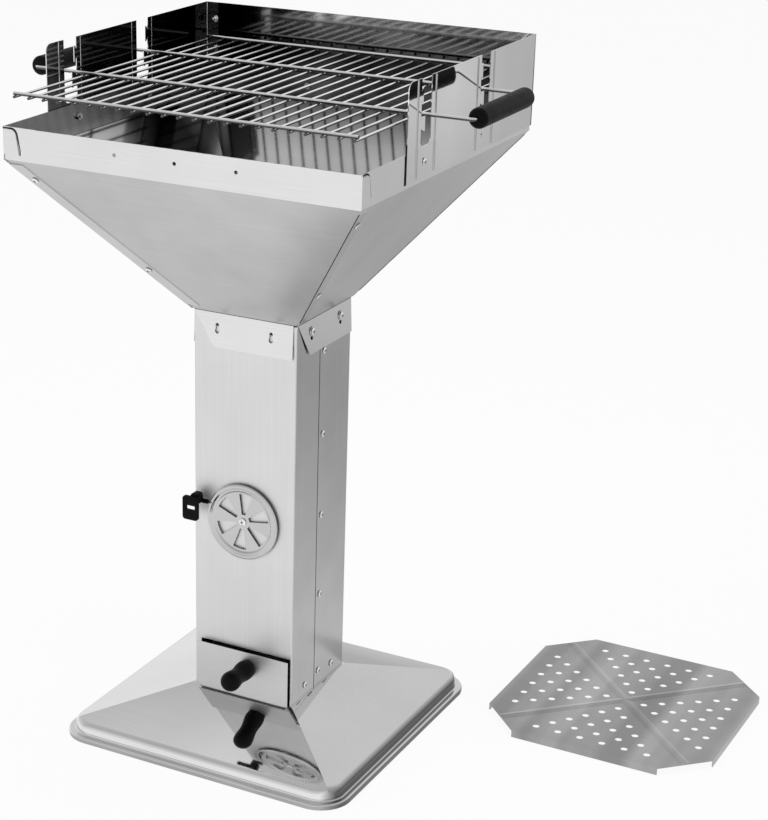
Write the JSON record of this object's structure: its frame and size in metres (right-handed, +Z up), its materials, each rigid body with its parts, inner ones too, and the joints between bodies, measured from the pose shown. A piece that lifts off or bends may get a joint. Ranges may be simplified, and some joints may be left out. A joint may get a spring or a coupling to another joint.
{
  "type": "pedestal charcoal barbecue",
  "caption": "Square sheet-metal pedestal barbecue: pressed foot, folded column with air vent and ash drawer, funnel, slotted windshield, lift-out grid, loose charcoal plate.",
  "frame": {"origin": "middle of the foot on the ground", "axes": "+Z up, front with vent and ash drawer faces -Y, +X to the right seen from the front"},
  "size_m": [0.7837, 0.5733, 0.7995],
  "materials": {
    "sheet_steel": "polished stainless sheet",
    "tray_steel": "plain sheet",
    "wire": "plated round wire",
    "fasteners": "bright",
    "black_plastic": "black, slightly glossy"
  },
  "bodies": {
    "stand": {"base_pan": "sheet_steel", "column_front": "sheet_steel", "column_rear": "sheet_steel", "column_seam_screws": "fasteners", "foot_screws": "fasteners", "vent_pivot": "fasteners", "funnel_front": "sheet_steel", "funnel_right": "sheet_steel", "funnel_back": "sheet_steel", "funnel_left": "sheet_steel", "funnel_lap_screws": "fasteners", "collar_screws": "fasteners", "collar_washers": "fasteners", "collar_nuts": "fasteners", "windshield_left": "sheet_steel", "windshield_back": "sheet_steel", "windshield_right": "sheet_steel", "rim_bolts": "fasteners", "rim_nuts": "fasteners", "corner_bolts": "fasteners", "corner_nuts": "fasteners"},
    "vent": {"vent_disc": "sheet_steel", "vent_grip": "black_plastic"},
    "ash_drawer": {"ash_tray": "tray_steel", "drawer_front": "sheet_steel", "drawer_knob": "black_plastic", "drawer_knob_screw": "fasteners"},
    "grid": {"grid_ring": "wire", "grid_end_wires": "wire", "grid_cross_wires": "wire", "grip_left": "black_plastic", "grip_right": "black_plastic"},
    "charcoal_plate": {"charcoal_plate": "sheet_steel"}
  },
  "joints": [
    {"name": "vent_turn", "type": "hinge", "parent": "stand", "child": "vent", "pos_m": [0, -0.068, 0.271], "axis": [0, -1, 0], "range_deg": [0, 30]},
    {"name": "drawer_slide", "type": "slide", "parent": "stand", "child": "ash_drawer", "axis": [0, -1, 0], "range_m": [0, 0.12]},
    {"name": "grid_lift", "type": "slide", "parent": "stand", "child": "grid", "axis": [0, 0, 1], "range_m": [0, 0.12]},
    {"name": "plate_lift", "type": "slide", "parent": "stand", "child": "charcoal_plate", "axis": [0, 0, 1], "range_m": [0, 0.15]}
  ]
}
